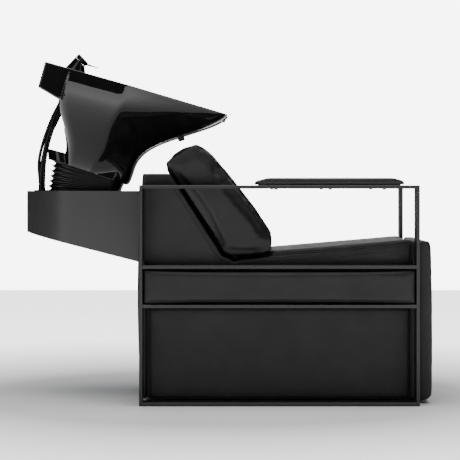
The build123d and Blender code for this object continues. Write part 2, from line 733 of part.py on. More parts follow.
# plan of the basin at each depth: n, rear u, u where the sides start to close in, front u,
# half width at the rear, half width at the front, corner radius
OUTER = (
    (0, 40, 260, 567, 250, 132, 44),
    (-40, 44, 255, 534, 246, 124, 42),
    (-80, 52, 250, 478, 236, 114, 40),
    (-120, 66, 240, 418, 214, 102, 38),
    (-180, 98, 235, 350, 168, 90, 34),
    (-240, 118, 220, 329, 124, 86, 30),
    (-304, 118, 200, 313, 104, 82, 28),
)
INNER = (
    (2, 115, 262, 546, 232, 112, 44),
    (-60, 119, 255, 478, 216, 98, 40),
    (-110, 126, 245, 405, 190, 84, 36),
    (-160, 138, 238, 345, 146, 66, 32),
    (-200, 152, 215, 285, 94, 44, 26),
    (BOWL_FLOOR_N, 150, 205, 245, 60, 40, 22),
)
CAVITY_N = -228.0               # ceiling of the hollow foot
NICHE = ((-DECK_EDGE, 226), (-80, 218), (-120, 196), (-180, 150), (-249, 104))


def basin_section(n, rear, shoulder, front, half, front_half, radius):
    """One plan section of the basin, parallel to the rim."""
    with BuildSketch(RIM.offset(n)) as section:
        with BuildLine():
            Polyline(
                (rear, -half), (shoulder, -half), (front, -front_half),
                (front, front_half), (shoulder, half), (rear, half), close=True,
            )
        make_face()
        fillet(section.vertices(), radius)
    return section.sketch


def drain_point(n):
    """A point on the drain's axis."""
    return RIM.from_local_coords(Vector(DRAIN_U, 0, n))


def basin():
    """Ceramic basin: bowl, rear deck that overhangs an open niche for the hoses, and hollow foot."""
    outside = [basin_section(*row) for row in OUTER]
    inside = [basin_section(*row) for row in INNER]
    with BuildPart() as bowl:
        loft(sections=outside)
        with BuildSketch(RIM):
            with Locations((38, 0)):
                Rectangle(76, 2 * BASIN_HALF)
        extrude(amount=-DECK_DEPTH - 18)
        with BuildSketch(side_plane(0)):
            with BuildLine():
                corners = [
                    RIM.from_local_coords(Vector(u, 0, n))
                    for u, n in ((-40, 4), (0, 4), (-4, -DECK_DEPTH), (62, -96), (62, -140), (-40, -140))
                ]
                Polyline(*[(p.X, p.Z) for p in corners], close=True)
            make_face()
        extrude(amount=BASIN_HALF + 20, both=True, mode=Mode.SUBTRACT)
        for n, half in NICHE:
            with BuildSketch(RIM.offset(n)):
                with Locations((55, 0)):
                    Rectangle(88, 2 * half)
        loft(ruled=True, mode=Mode.SUBTRACT)
        with BuildSketch(RIM.offset(-249)):
            with Locations((186, 0)):
                RectangleRounded(254, 190, 40)
        with BuildSketch(RIM.offset(-304)):
            with Locations((196, 0)):
                RectangleRounded(234, 210, 46)
        loft(ruled=True)
        split(bisect_by=FOOT, keep=Keep.TOP)
        loft(sections=inside, mode=Mode.SUBTRACT)
        with BuildSketch(RIM.offset(CAVITY_N)):
            with Locations((DRAIN_U, 0)):
                RectangleRounded(112, 130, 20)
        extrude(amount=-90, mode=Mode.SUBTRACT)
        with BuildSketch(FOOT):
            with Locations([(x, y) for x in FOOT_BOLT_X for y in (-FOOT_BOLT_Y, FOOT_BOLT_Y)]):
                Circle(3.2)
        extrude(amount=20, mode=Mode.SUBTRACT)
        with BuildSketch(RIM.offset(-180)):
            with Locations((DRAIN_U, 0)):
                Circle(DRAIN_HOLE_R)
        extrude(amount=-90, mode=Mode.SUBTRACT)
        with BuildSketch(RIM.offset(4)):
            with Locations((MIXER_U, 0)):
                Circle(SHANK_R + 0.5)
            with Locations((SHOWER_U, SHOWER_Y)):
                Circle(HOLDER_R + 0.5)
        extrude(amount=-DECK_EDGE - 8, mode=Mode.SUBTRACT)
        notch_centre = RIM.from_local_coords(Vector(470, 0, NECK_CENTRE_N))
        neck = Plane(origin=notch_centre, x_dir=(0, 1, 0), z_dir=RIM.x_dir)
        with BuildSketch(neck):
            Circle(NECK_R)
        extrude(amount=120, mode=Mode.SUBTRACT)
    save(bowl.part, "basin")


def neck_pad():
    """Silicone saddle over the front lip, where the neck lies in the basin's notch."""
    centre = RIM.from_local_coords(Vector(522, 0, NECK_CENTRE_N))
    lip = Plane(origin=centre, x_dir=(0, 1, 0), z_dir=RIM.x_dir)
    with BuildPart() as pad:
        with BuildSketch(lip):
            Circle(NECK_R - 0.3)
            Circle(NECK_R - 6, mode=Mode.SUBTRACT)
            with Locations((0, 100 - NECK_CENTRE_N)):
                Rectangle(240, 200, mode=Mode.SUBTRACT)
        extrude(amount=40)
    save(pad.part, "neck_pad")


def tilt_grip():
    """Moulded grip under the front lip, pulled down or pushed up to tilt the basin."""
    slope = math.radians(18.2)
    grip_plane = Plane(
        origin=(-140 + math.sin(slope) / 2, 0, 802.0 - math.cos(slope) / 2), x_dir=(0, 1, 0),
        z_dir=(math.sin(slope), 0, -math.cos(slope)),
    )
    with BuildPart() as grip:
        with BuildSketch(grip_plane):
            RectangleRounded(92, 20, 6)
        extrude(amount=11)
        fillet(grip.faces().sort_by(Axis.Z)[0].edges(), 4)
    save(grip.part, "tilt_grip")


# ---------------------------------------------------------------- drain
TAIL_N = -262.0


def ring(plane, height, outer, inner):
    """Add a ring to the part that is being built: from the plane, along its normal."""
    with BuildSketch(plane) as section:
        Circle(outer)
        Circle(inner, mode=Mode.SUBTRACT)
    extrude(section.sketch, amount=height)


def drain():
    """Drain flange with its tail, the nut below it, and a strainer that lifts out."""
    floor_plane = Plane(origin=drain_point(BOWL_FLOOR_N), x_dir=RIM.x_dir, z_dir=RIM.z_dir)
    with BuildPart() as flange:
        ring(floor_plane, 3, 32, 17)
        ring(floor_plane, TAIL_N - BOWL_FLOOR_N, 20, 17)
    save(flange.part, "drain_flange")
    with BuildPart() as nut:
        ring(floor_plane.offset(CAVITY_N - BOWL_FLOOR_N), -10, 31, 20)
        with BuildSketch(floor_plane.offset(CAVITY_N - BOWL_FLOOR_N - 5)):
            with PolarLocations(32, 8):
                Circle(3)
        extrude(amount=5, both=True, mode=Mode.SUBTRACT)
    save(nut.part, "drain_nut")
    with BuildPart() as strainer:
        with BuildSketch(floor_plane.offset(3.3)):
            Circle(27)
            with PolarLocations(11, 8):
                Circle(2.2, mode=Mode.SUBTRACT)
        extrude(amount=2.5)
        ring(floor_plane.offset(3.3), -14, 16.6, 15.2)
        with BuildSketch(floor_plane.offset(5.8)):
            Circle(5)
        extrude(amount=9)
        fillet(strainer.faces().sort_by(Axis.Z)[-1].edges(), 2)
    save(strainer.part, "strainer")


# ---------------------------------------------------------------- mixer and hand shower
MIXER_FOOT = (54.7, 0.0)        # where the mixer's axis meets the deck, in u and n
MIXER_LEAN = 31.3               # from the rim's normal, towards the bowl
MIXER_R = 20.5
BODY_LENGTH = 44.0
CAP_START = 44.6
CAP_END = 59.2
STEM_R = 6.0
LEVER_PIN = (90.5, 35.0)
LEVER_TIP = (138.0, 34.0)
SLOT_HALF = 5.8
SHANK_N = -34.0


def mixer_plane(distance):
    """Plane across the mixer's axis at a distance from the deck."""
    lean = math.radians(MIXER_LEAN)
    foot = Vector(MIXER_FOOT[0] + distance * math.sin(lean), 0, MIXER_FOOT[1] + distance * math.cos(lean))
    normal = RIM.x_dir * math.sin(lean) + RIM.z_dir * math.cos(lean)
    return Plane(origin=RIM.from_local_coords(foot), x_dir=(0, 1, 0), z_dir=normal)


def mixer():
    """Single-lever mixer: body, cap that turns for heat, and on the cap's pin a lever for the flow."""
    with BuildPart() as body:
        with BuildSketch(RIM):
            with Locations((70, 0)):
                Ellipse(35.5, 22)
        with BuildSketch(mixer_plane(BODY_LENGTH)):
            Circle(MIXER_R)
        loft()
        with BuildSketch(mixer_plane(BODY_LENGTH)):
            Circle(STEM_R + RUNNING)
        extrude(amount=-24, mode=Mode.SUBTRACT)
        with BuildSketch(RIM):
            with Locations((MIXER_U, 0)):
                Circle(SHANK_R)
        extrude(amount=SHANK_N)
    save(body.part, "mixer_body")
    with BuildPart() as nut:
        with BuildSketch(RIM.offset(-DECK_EDGE)):
            with Locations((MIXER_U, 0)):
                RegularPolygon(26, 6, major_radius=False)
                Circle(SHANK_R, mode=Mode.SUBTRACT)
        extrude(amount=-9)
    save(nut.part, "mixer_nut")
    pin_centre = RIM.from_local_coords(Vector(LEVER_PIN[0], 0, LEVER_PIN[1]))
    slot = [RIM.from_local_coords(Vector(u, 0, n)) for u, n in ((84, 28.5), (116, 28.5), (116, 70), (84, 70))]
    with BuildPart() as cap:
        with BuildSketch(mixer_plane(CAP_START)):
            Circle(MIXER_R)
        extrude(amount=CAP_END - CAP_START)
        fillet(cap.edges().filter_by(GeomType.CIRCLE).sort_by(Axis.Z)[-1], 1.5)
        with BuildSketch(side_plane(0)):
            with BuildLine():
                Polyline(*[(p.X, p.Z) for p in slot], close=True)
            make_face()
        extrude(amount=SLOT_HALF, both=True, mode=Mode.SUBTRACT)
        with BuildSketch(mixer_plane(CAP_START)):
            Circle(STEM_R)
        extrude(amount=-20)
        with BuildSketch(side_plane(0)):
            with Locations((pin_centre.X, pin_centre.Z)):
                Circle(1.5)
        extrude(amount=SLOT_HALF + 1, both=True)
    save(cap.part, "mixer_cap")
    tip = RIM.from_local_coords(Vector(LEVER_TIP[0], 0, LEVER_TIP[1]))
    outline = ((-2, 3.6), (12, 3.0), (47, 1.4), (47.6, -0.2), (12, -2.6), (0, -3.6))
    lean = math.atan2(tip.Z - pin_centre.Z, tip.X - pin_centre.X)
    with BuildPart() as lever:
        lever_side = Plane(origin=pin_centre, x_dir=(math.cos(lean), 0, math.sin(lean)), z_dir=(0, -1, 0))
        with BuildSketch(lever_side):
            Circle(3.9)
            with BuildLine():
                Polyline(*outline, close=True)
            make_face()
            Circle(1.5 + RUNNING, mode=Mode.SUBTRACT)
        extrude(amount=SLOT_HALF - 0.5, both=True)
    save(lever.part, "mixer_lever")


def hand_shower():
    """Pull-out spray head that rests in a flanged holder in the deck."""
    with BuildPart() as holder:
        spot = RIM.from_local_coords(Vector(SHOWER_U, SHOWER_Y, 0))
        seat_plane = Plane(origin=spot, x_dir=RIM.x_dir, z_dir=RIM.z_dir)
        ring(seat_plane, 4, 24, 14.6)
        ring(seat_plane, -30, HOLDER_R, 14.6)
    save(holder.part, "shower_holder")
    with BuildPart() as shower:
        profile_plane = Plane(origin=spot, x_dir=RIM.x_dir, z_dir=(0, -1, 0))
        with BuildSketch(profile_plane):
            with BuildLine():
                Polyline(
                    (0, -36), (10, -36), (14, -30), (14, 4.3),
                    (20, 4.3), (26, 10), (27, 16), (24, 19), (0, 19),
                    close=True,
                )
            make_face()
        revolve(axis=Axis(spot, RIM.z_dir))
    save(shower.part, "hand_shower")


# ---------------------------------------------------------------- hoses and pipes
WASTE_HOSE_R = 16.0
HOSE_START = SHANK_N - 1.2


def under_deck(u, y, n):
    """World point from a place under the deck."""
    return RIM.from_local_coords(Vector(u, y, n))


HOSE_ROUTES = {
    "hot_hose": [
        under_deck(60, -11, HOSE_START), (-506, -16, 925), (-532, -28, 862), (-553, -40, 792),
        (-567, -52, 722), (-572, -60, 668), (-572, -62, 618),
    ],
    "cold_hose": [
        under_deck(60, 11, HOSE_START), (-508, 8, 926), (-538, -4, 868), (-563, -18, 800),
        (-580, -30, 730), (-576, -36, 680), (-572, -38, 643), (-572, -38.4, 618),
    ],
    "shower_hose": [
        under_deck(77, 0, HOSE_START), (-494, 0, 922), (-520, -2, 862), (-551, -6, 800), (-568, -10, 732),
        (-573, -12, 668), (-572, -12, 610), (-572, -12, 552), (-572, 7, 517), (-572, 43, 517),
        (-572, 62, 552), (-572, 62, 612), (-573, 63, 672), (-570, 70, 736), (-556, 80, 800), (-535, 92, 862),
        (-514, 104, 922), under_deck(SHOWER_U, SHOWER_Y, -37.2),
    ],
}
WASTE_HOSE_ROUTE = [drain_point(TAIL_N - 0.3), (-435, 0, 684), (-437.5, 0, 648), (-437.5, 0, 612)]


def bend_radii(points):
    """Radius of the arc at each inner point: 0.45 of the shorter run over the half turn's tangent."""
    radii = []
    for before, here, after in zip(points, points[1:], points[2:]):
        first = Vector(here) - Vector(before)
        second = Vector(after) - Vector(here)
        half_turn = math.radians(first.get_angle(second) / 2)
        radii.append(0.45 * min(first.length, second.length) / math.tan(half_turn))
    return radii


def tube(points, radius, radii):
    """Add a tube along runs joined by tangent arcs to the part that is being built."""
    with BuildLine() as route:
        FilletPolyline(*points, radius=radii)
    path = route.wires()[0]
    with BuildSketch(Plane(origin=path @ 0, z_dir=path % 0)) as section:
        Circle(radius)
    sweep(section.sketch, path=path)
    return path.length


def hoses():
    """Flexible hoses between the mixer, the hand shower, the drain and the bracket."""
    routes = {name: (points, HOSE_R) for name, points in HOSE_ROUTES.items()}
    routes["waste_hose"] = (WASTE_HOSE_ROUTE, WASTE_HOSE_R)
    for name, (points, radius) in routes.items():
        radii = bend_radii(points)
        with BuildPart() as hose:
            length = tube(points, radius, radii)
        filled = hose.part.volume / (math.pi * radius**2 * length)
        bends = [round(r) for r in radii]
        print(name, "length", round(length), "volume ratio", round(filled, 4), "radii", bends)
        save(hose.part, name)


def pipes():
    """Rigid waste pipe and copper supply pipes, from inside the bracket down to the floor."""
    with BuildPart() as waste:
        waste_route = [(-437.5, 0, 611.7), (-437.5, 0, PIPE_Z), (WASTE_X, 0, PIPE_Z), (WASTE_X, 0, 12)]
        tube(waste_route, WASTE_R, [45, 45])
    save(waste.part, "waste_pipe")
    supplies = []
    for y_top, y_floor in ((-62, -2 * SUPPLY_Y), (-38, 2 * SUPPLY_Y)):
        side = -SUPPLY_Y if y_floor < 0 else SUPPLY_Y
        height = PIPE_Z + (14 if y_floor > 0 else -14)
        with BuildPart() as supply:
            supply_route = [
                (-572, y_top, 617), (-572, y_top, height + 20), (-500, side, height), (-200, side, height),
                (WASTE_X, y_floor, height - 20), (WASTE_X, y_floor, 60),
            ]
            tube(supply_route, SUPPLY_R - 1, [25, 40, 25, 25])
            with BuildSketch(Plane.XY.offset(60)):
                with Locations((WASTE_X, y_floor)):
                    Circle(10.4)
            extrude(amount=-48)
        supplies.append(supply.part)
    save(Compound(children=supplies), "supply_pipes")


os.makedirs("parts", exist_ok=True)
side_frames()
frame_bolts()
armrests()
band_cushions()
carcass()
side_panels()
rear_and_top()
front_apron()
seat()
backrest()
bracket()
tilt_hinge()
bellows()
basin()
neck_pad()
tilt_grip()
drain()
mixer()
hand_shower()
hoses()
pipes()
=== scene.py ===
import json
import math

import bmesh
import bpy
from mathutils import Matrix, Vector
from mathutils.bvhtree import BVHTree


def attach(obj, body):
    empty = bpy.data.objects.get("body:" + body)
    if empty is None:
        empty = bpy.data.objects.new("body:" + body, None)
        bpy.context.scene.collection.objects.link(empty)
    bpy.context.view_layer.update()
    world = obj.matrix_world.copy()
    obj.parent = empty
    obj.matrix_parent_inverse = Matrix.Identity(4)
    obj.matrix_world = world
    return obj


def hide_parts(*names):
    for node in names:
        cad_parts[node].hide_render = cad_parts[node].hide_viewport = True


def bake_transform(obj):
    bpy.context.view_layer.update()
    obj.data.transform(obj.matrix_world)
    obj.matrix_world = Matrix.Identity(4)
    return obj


# Looks of a backwash unit: black leather seat, flat-bar frames, tilting glazed basin, bellows and
# hoses. Metres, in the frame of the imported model: +X from the basin to the seat's front, +Z up.

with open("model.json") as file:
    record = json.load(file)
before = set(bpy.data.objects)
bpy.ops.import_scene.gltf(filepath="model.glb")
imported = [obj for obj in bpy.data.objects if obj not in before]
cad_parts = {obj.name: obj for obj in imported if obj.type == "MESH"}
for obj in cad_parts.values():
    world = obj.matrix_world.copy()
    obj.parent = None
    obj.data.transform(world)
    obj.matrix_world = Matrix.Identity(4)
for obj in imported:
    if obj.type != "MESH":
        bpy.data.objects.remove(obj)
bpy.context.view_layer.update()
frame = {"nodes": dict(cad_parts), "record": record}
MM = 0.001
SEAT_BODY = "seat_unit"
BASIN_BODY = "basin_body"
SIDES = (("right", -1), ("left", 1))


# ---------------------------------------------------------------- camera
def camera():
    """Level view along +Y from far away, a little lower than the armrests."""
    data = bpy.data.cameras.new("camera")
    data.lens = 148.3
    data.sensor_width = 36.0
    data.shift_y = -0.0935
    data.clip_end = 60.0
    obj = bpy.data.objects.new("camera", data)
    obj.location = (0.0135, -5.9, 0.647)
    obj.rotation_euler = (math.radians(90), 0, 0)
    bpy.context.scene.collection.objects.link(obj)
    bpy.context.scene.camera = obj


# ---------------------------------------------------------------- materials
class Shader:
    """A principled material with short calls for the nodes that the finishes share."""

    def __init__(self, name, metallic=0.0, roughness=0.5, specular=0.5, **inputs):
        self.material = bpy.data.materials.new(name)
        self.material.use_nodes = True
        self.nodes = self.material.node_tree.nodes
        self.links = self.material.node_tree.links
        self.bsdf = self.nodes["Principled BSDF"]
        self.bsdf.inputs["Metallic"].default_value = metallic
        self.bsdf.inputs["Roughness"].default_value = roughness
        self.bsdf.inputs["Specular IOR Level"].default_value = specular
        for key, value in inputs.items():
            self.bsdf.inputs[key.replace("_", " ").title()].default_value = value
        self.where = self.nodes.new("ShaderNodeTexCoord").outputs["Object"]

    def stretched(self, scale):
        """Object coordinates scaled unevenly, for brushed or woven looks."""
        node = self.nodes.new("ShaderNodeMapping")
        node.inputs["Scale"].default_value = scale
        self.links.new(self.where, node.inputs["Vector"])
        return node.outputs["Vector"]

    def noise(self, scale, detail=4.0, rough=0.55, vector=None):
        node = self.nodes.new("ShaderNodeTexNoise")
        node.inputs["Scale"].default_value = scale
        node.inputs["Detail"].default_value = detail
        node.inputs["Roughness"].default_value = rough
        self.links.new(vector or self.where, node.inputs["Vector"])
        return node.outputs["Fac"]

    def cells(self, scale, feature="DISTANCE_TO_EDGE"):
        node = self.nodes.new("ShaderNodeTexVoronoi")
        node.feature = feature
        node.inputs["Scale"].default_value = scale
        self.links.new(self.where, node.inputs["Vector"])
        return node.outputs["Distance"]

    def ramp(self, value, stops):
        node = self.nodes.new("ShaderNodeValToRGB")
        elements = node.color_ramp.elements
        for index, (at, colour) in enumerate(stops):
            element = elements[index] if index < 2 else elements.new(at)
            element.position = at
            element.color = (*colour, 1.0)
        self.links.new(value, node.inputs["Fac"])
        return node.outputs["Color"]

    def spread(self, value, low, high, start=0.3, end=0.7):
        node = self.nodes.new("ShaderNodeMapRange")
        for key, number in (("From Min", start), ("From Max", end), ("To Min", low), ("To Max", high)):
            node.inputs[key].default_value = number
        self.links.new(value, node.inputs["Value"])
        return node.outputs["Result"]

    def colour(self, value, stops):
        self.links.new(self.ramp(value, stops), self.bsdf.inputs["Base Color"])

    def roughness(self, value, low, high):
        self.links.new(self.spread(value, low, high), self.bsdf.inputs["Roughness"])

    def bump(self, layers):
        """Bumps one on another: (value, strength, distance in metres)."""
        last = None
        for value, strength, distance in layers:
            node = self.nodes.new("ShaderNodeBump")
            node.inputs["Strength"].default_value = strength
            node.inputs["Distance"].default_value = distance
            self.links.new(value, node.inputs["Height"])
            if last is not None:
                self.links.new(last, node.inputs["Normal"])
            last = node.outputs["Normal"]
        self.links.new(last, self.bsdf.inputs["Normal"])


def grey(value):
    return (value, value, value * 1.03)


def leather():
    """Black upholstery leather: fine grain in creased cells, soft folds, satin with duller patches."""
    s = Shader("black_leather", roughness=0.42, specular=0.42)
    s.colour(s.noise(14.0, 5.0), [(0.3, grey(0.004)), (0.7, grey(0.009))])
    s.roughness(s.noise(9.0, 3.0), 0.34, 0.48)
    grain = s.spread(s.cells(620.0), 0.0, 1.0, 0.0, 0.25)
    s.bump([(s.noise(28.0, 3.0), 0.18, 0.003), (s.noise(420.0, 2.0), 0.25, 0.0004), (grain, 0.45, 0.00035)])
    return s.material


def powder_coat(name, value, roughness):
    """Satin black powder coat: a faint orange peel, slightly worn in patches."""
    s = Shader(name, metallic=0.0, roughness=roughness, specular=0.6)
    s.colour(s.noise(7.0, 4.0), [(0.3, grey(value * 0.95)), (0.7, grey(value * 1.05))])
    s.roughness(s.noise(22.0, 4.0), roughness - 0.015, roughness + 0.02)
    s.bump([(s.noise(1400.0, 2.0), 0.12, 0.0002)])
    return s.material


def glaze():
    """Black ceramic glaze: mirror gloss with the slightest waviness and a body just off black."""
    s = Shader("black_glaze", roughness=0.035, specular=0.5)
    s.colour(s.noise(5.0, 2.0), [(0.3, grey(0.0022)), (0.7, grey(0.0042))])
    s.roughness(s.noise(12.0, 3.0), 0.025, 0.05)
    s.bump([(s.noise(16.0, 2.0), 0.05, 0.002)])
    return s.material


def rubber(name, roughness, value=0.006):
    """Black rubber with a faint moulded texture."""
    s = Shader(name, roughness=roughness, specular=0.5)
    s.colour(s.noise(40.0, 3.0), [(0.3, grey(value)), (0.7, grey(value * 1.7))])
    s.roughness(s.noise(55.0, 4.0), roughness - 0.06, roughness + 0.08)
    s.bump([(s.noise(900.0, 2.0), 0.1, 0.0002)])
    return s.material


def metal(name, colour, roughness):
    """Bare or plated metal with fine drawn lines."""
    s = Shader(name, metallic=1.0, roughness=roughness)
    lines = s.noise(260.0, 3.0, vector=s.stretched((1.0, 9.0, 1.0)))
    s.colour(lines, [(0.3, tuple(c * 0.9 for c in colour)), (0.7, colour)])
    s.roughness(lines, max(roughness - 0.05, 0.02), roughness + 0.06)
    s.bump([(lines, 0.04, 0.0001)])
    return s.material


def black_chrome():
    """Gloss black plating on the mixer and the hand shower."""
    s = Shader("black_chrome", metallic=0.85, roughness=0.12)
    s.colour(s.noise(30.0, 3.0), [(0.3, grey(0.02)), (0.7, grey(0.035))])
    s.roughness(s.noise(60.0, 3.0), 0.09, 0.17)
    s.bump([(s.noise(500.0, 2.0), 0.03, 0.0001)])
    return s.material


def plywood():
    """Birch plywood coloured almost black, with long grain in it: the dark tone is painted shade for the
    boards seen through the gaps round the side panels.
    """
    s = Shader("plywood_dark_as_painted_shade", roughness=0.6)
    grain = s.noise(30.0, 6.0, vector=s.stretched((0.6, 6.0, 6.0)))
    # Painted shade: a near-black colour so the boards seen in the gaps read as shaded.
    s.colour(grain, [(0.3, (0.009, 0.008, 0.007)), (0.7, (0.024, 0.02, 0.017))])
    s.bump([(grain, 0.15, 0.0004)])
    return s.material


def plastic(name, value, roughness):
    """Moulded black plastic with a spark-eroded texture."""
    s = Shader(name, roughness=roughness)
    s.colour(s.noise(60.0, 3.0), [(0.3, grey(value)), (0.7, grey(value * 1.5))])
    s.bump([(s.cells(1500.0, "F1"), 0.15, 0.0002)])
    return s.material


def floor_with_painted_light():
    s = Shader("pale_floor_painted_light", roughness=0.7)
    # Painted light: the floor glows. There is no emission within 0.75 m of the origin, rising to strength
    # 2.6 beyond 2.2 m, so the floor brightens away from the unit and keeps the unit's shadows near it.
    s.bsdf.inputs["Emission Color"].default_value = (0.95, 0.95, 0.95, 1)
    distance = s.nodes.new("ShaderNodeVectorMath")
    distance.operation = "LENGTH"
    s.links.new(s.where, distance.inputs[0])
    painted_light_strength = s.spread(distance.outputs["Value"], 0.0, 2.6, 0.75, 2.2)
    s.links.new(painted_light_strength, s.bsdf.inputs["Emission Strength"])
    s.colour(s.noise(1.2, 3.0), [(0.3, (0.86, 0.86, 0.86)), (0.7, (0.9, 0.9, 0.9))])
    return s.material


LEATHER = leather()
SLOT_MATERIALS = {
    "leather": LEATHER,
    "frame_steel": powder_coat("frame_coat", 0.012, 0.36),
    "bracket_steel": powder_coat("bracket_coat", 0.03, 0.3),
    "hinge_steel": powder_coat("hinge_coat", 0.04, 0.45),
    "glazed_basin": glaze(),
    "black_rubber": rubber("bellows_rubber", 0.22),
    "hose_black": rubber("hose_rubber", 0.2),
    "silicone": rubber("neck_silicone", 0.38, 0.012),
    "black_plastic": plastic("black_plastic", 0.01, 0.45),
    "chrome_drain": metal("drain_chrome", (0.75, 0.75, 0.77), 0.1),
    "black_chrome": black_chrome(),
    "zinc_fasteners": metal("zinc", (0.5, 0.5, 0.5), 0.35),
    "copper": metal("copper", (0.72, 0.4, 0.26), 0.3),
    "plywood": plywood(),
}


def dress_cad():
    """Every CAD node that stays visible gets its slot's material."""
    for row in frame["record"]["subparts"]:
        obj = frame["nodes"][row["node"]]
        material = SLOT_MATERIALS[row["material_slot"]]
        obj.data.materials.clear()
        obj.data.materials.append(material)


# ---------------------------------------------------------------- mesh helpers
def piece(name, verts, faces, body, slot, smooth=True):
    """A mesh object from lists, with outward normals, on its body and with its slot's material."""
    mesh = bpy.data.meshes.new(name)
    mesh.from_pydata(verts, [], faces)
    bm = bmesh.new()
    bm.from_mesh(mesh)
    bmesh.ops.remove_doubles(bm, verts=bm.verts, dist=1e-6)
    bmesh.ops.recalc_face_normals(bm, faces=bm.faces)
    bm.to_mesh(mesh)
    bm.free()
    obj = bpy.data.objects.new(name, mesh)
    bpy.context.scene.collection.objects.link(obj)
    if slot:
        finish_piece(obj, body, slot, smooth)
    return obj


def finish_piece(obj, body, slot, smooth=True):
    """Material from its slot, shading and body of a made piece."""
    obj.data.materials.clear()
    obj.data.materials.append(SLOT_MATERIALS[slot])
    obj.data.polygons.foreach_set("use_smooth", [smooth] * len(obj.data.polygons))
    if body:
        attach(obj, body)


def skin(rings, close_ends=True, closed=True):
    """Faces between rings of equal length, with end caps."""
    verts = [tuple(p) for ring in rings for p in ring]
    count = len(rings[0])
    faces = []
    for k in range(len(rings) - 1):
        for i in range(count if closed else count - 1):
            j = (i + 1) % count
            faces.append((k * count + i, k * count + j, (k + 1) * count + j, (k + 1) * count + i))
    if close_ends:
        faces.append(tuple(range(count)))
        faces.append(tuple(range((len(rings) - 1) * count, len(rings) * count)))
    return verts, faces


def fit_to(obj, node):
    """Stretch back to the CAD node's box what smoothing has drawn in."""
    low, high = (Vector(c) for c in box_of(frame["nodes"][node]))
    a, b = (Vector(c) for c in box_of(obj))
    for vertex in obj.data.vertices:
        co = vertex.co
        vertex.co = [low[i] + (co[i] - a[i]) * (high[i] - low[i]) / (b[i] - a[i]) for i in range(3)]


def box_of(obj):
    """Lowest and highest corner of a mesh."""
    spots = [v.co for v in obj.data.vertices]
    return [[pick(s[i] for s in spots) for i in range(3)] for pick in (min, max)]


def apply_modifiers(obj):
    """The evaluated mesh takes the place of the object's own, and its modifiers go."""
    deps = bpy.context.evaluated_depsgraph_get()
    mesh = bpy.data.meshes.new_from_object(obj.evaluated_get(deps), depsgraph=deps)
    obj.modifiers.clear()
    obj.data = mesh


def remesh(obj, voxel, passes, factor=0.5):
    """Even quads at a voxel size, then rounded edges from smoothing passes."""
    modifier = obj.modifiers.new("remesh", "REMESH")
    modifier.mode = "VOXEL"
    modifier.voxel_size = voxel
    if passes:
        smooth = obj.modifiers.new("smooth", "SMOOTH")
        smooth.factor = factor
        smooth.iterations = passes
    apply_modifiers(obj)


def copy_of(node, name):
    """A free copy of a CAD node's mesh, to be worked on; the node itself stays as it is."""
    obj = bpy.data.objects.new(name, frame["nodes"][node].data.copy())
    bpy.context.scene.collection.objects.link(obj)
    bm = bmesh.new()
    bm.from_mesh(obj.data)
    bmesh.ops.remove_doubles(bm, verts=bm.verts, dist=1e-6)
    bm.to_mesh(obj.data)
    bm.free()
    return obj


def tree_of(obj):
    """Search tree over a mesh, for laying seams and stitches on it."""
    return BVHTree.FromObject(obj, bpy.context.evaluated_depsgraph_get())


def simulate(obj, pressure, cap, mask):
    """Inflate the skin a little with the cloth solver; no vertex moves further than cap x mask."""
    start = [v.co.copy() for v in obj.data.vertices]
    cloth = obj.modifiers.new("cloth", "CLOTH")
    settings = cloth.settings
    settings.quality = 3
    settings.mass = 0.3
    settings.tension_stiffness = 30
    settings.compression_stiffness = 12
    settings.shear_stiffness = 12
    settings.bending_stiffness = 4
    settings.use_pressure = True
    settings.uniform_pressure_force = pressure
    settings.effector_weights.gravity = 0
    cloth.collision_settings.use_collision = False
    cloth.point_cache.frame_start = 1
    cloth.point_cache.frame_end = 20
    scene = bpy.context.scene
    for number in range(1, 21):
        scene.frame_set(number)
    apply_modifiers(obj)
    scene.frame_set(1)
    for vertex, rest in zip(obj.data.vertices, start):
        move = vertex.co - rest
        limit = cap * mask(rest)
        if move.length > limit:
            move = move * (limit / max(move.length, 1e-9))
        vertex.co = rest + move
    smooth = obj.modifiers.new("smooth", "SMOOTH")
    smooth.iterations = 2
    apply_modifiers(obj)


def everywhere(_):
    return 1.0


def padded_copy(node, voxel, passes, cap=0.0, mask=everywhere, shape=None, keep=None, divided=False):
    """A CAD pad's shape with a sewn skin: rounded by smoothing and puffed by the cloth solver."""
    obj = copy_of(node, node + "_skin")
    remesh(obj, voxel, passes)
    fit_to(obj, node)
    if cap:
        simulate(obj, 4.0, cap, mask)
    for change in (shape, keep):
        for vertex in obj.data.vertices if change else ():
            vertex.co = change(vertex.co)
    if divided:
        divide = obj.modifiers.new("divide", "SUBSURF")
        divide.levels = divide.render_levels = 1
        apply_modifiers(obj)
    finish_piece(obj, SEAT_BODY, "leather")
    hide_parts(node)
    return obj


def sweep(points, radius, sides=8):
    """Rings of a thin tube along points, with a frame carried without twist."""
    rings = []
    up = None
    count = len(points)
    for i, p in enumerate(points):
        ahead = (points[min(i + 1, count - 1)] - points[max(i - 1, 0)]).normalized()
        if up is None:
            up = ahead.orthogonal().normalized()
        up = (up - ahead * up.dot(ahead)).normalized()
        side = ahead.cross(up)
        turns = [2 * math.pi * k / sides for k in range(sides)]
        rings.append([p + (up * math.cos(a) + side * math.sin(a)) * radius for a in turns])
    return rings


def laid(tree, points, lift):
    """Points moved onto the skin nearest to them, then lifted off it."""
    out = []
    for p in points:
        spot, normal, _, _ = tree.find_nearest(Vector(p))
        out.append(spot + normal * lift)
    return out


def spaced(points, step):
    """Points at an even step along a polyline."""
    out = [Vector(points[0])]
    carry = 0.0
    for a, b in zip(points, points[1:]):
        a, b = Vector(a), Vector(b)
        length = (b - a).length
        at = step - carry
        while at <= length:
            out.append(a.lerp(b, at / length))
            at += step
        carry = (carry + length) % step
    return out


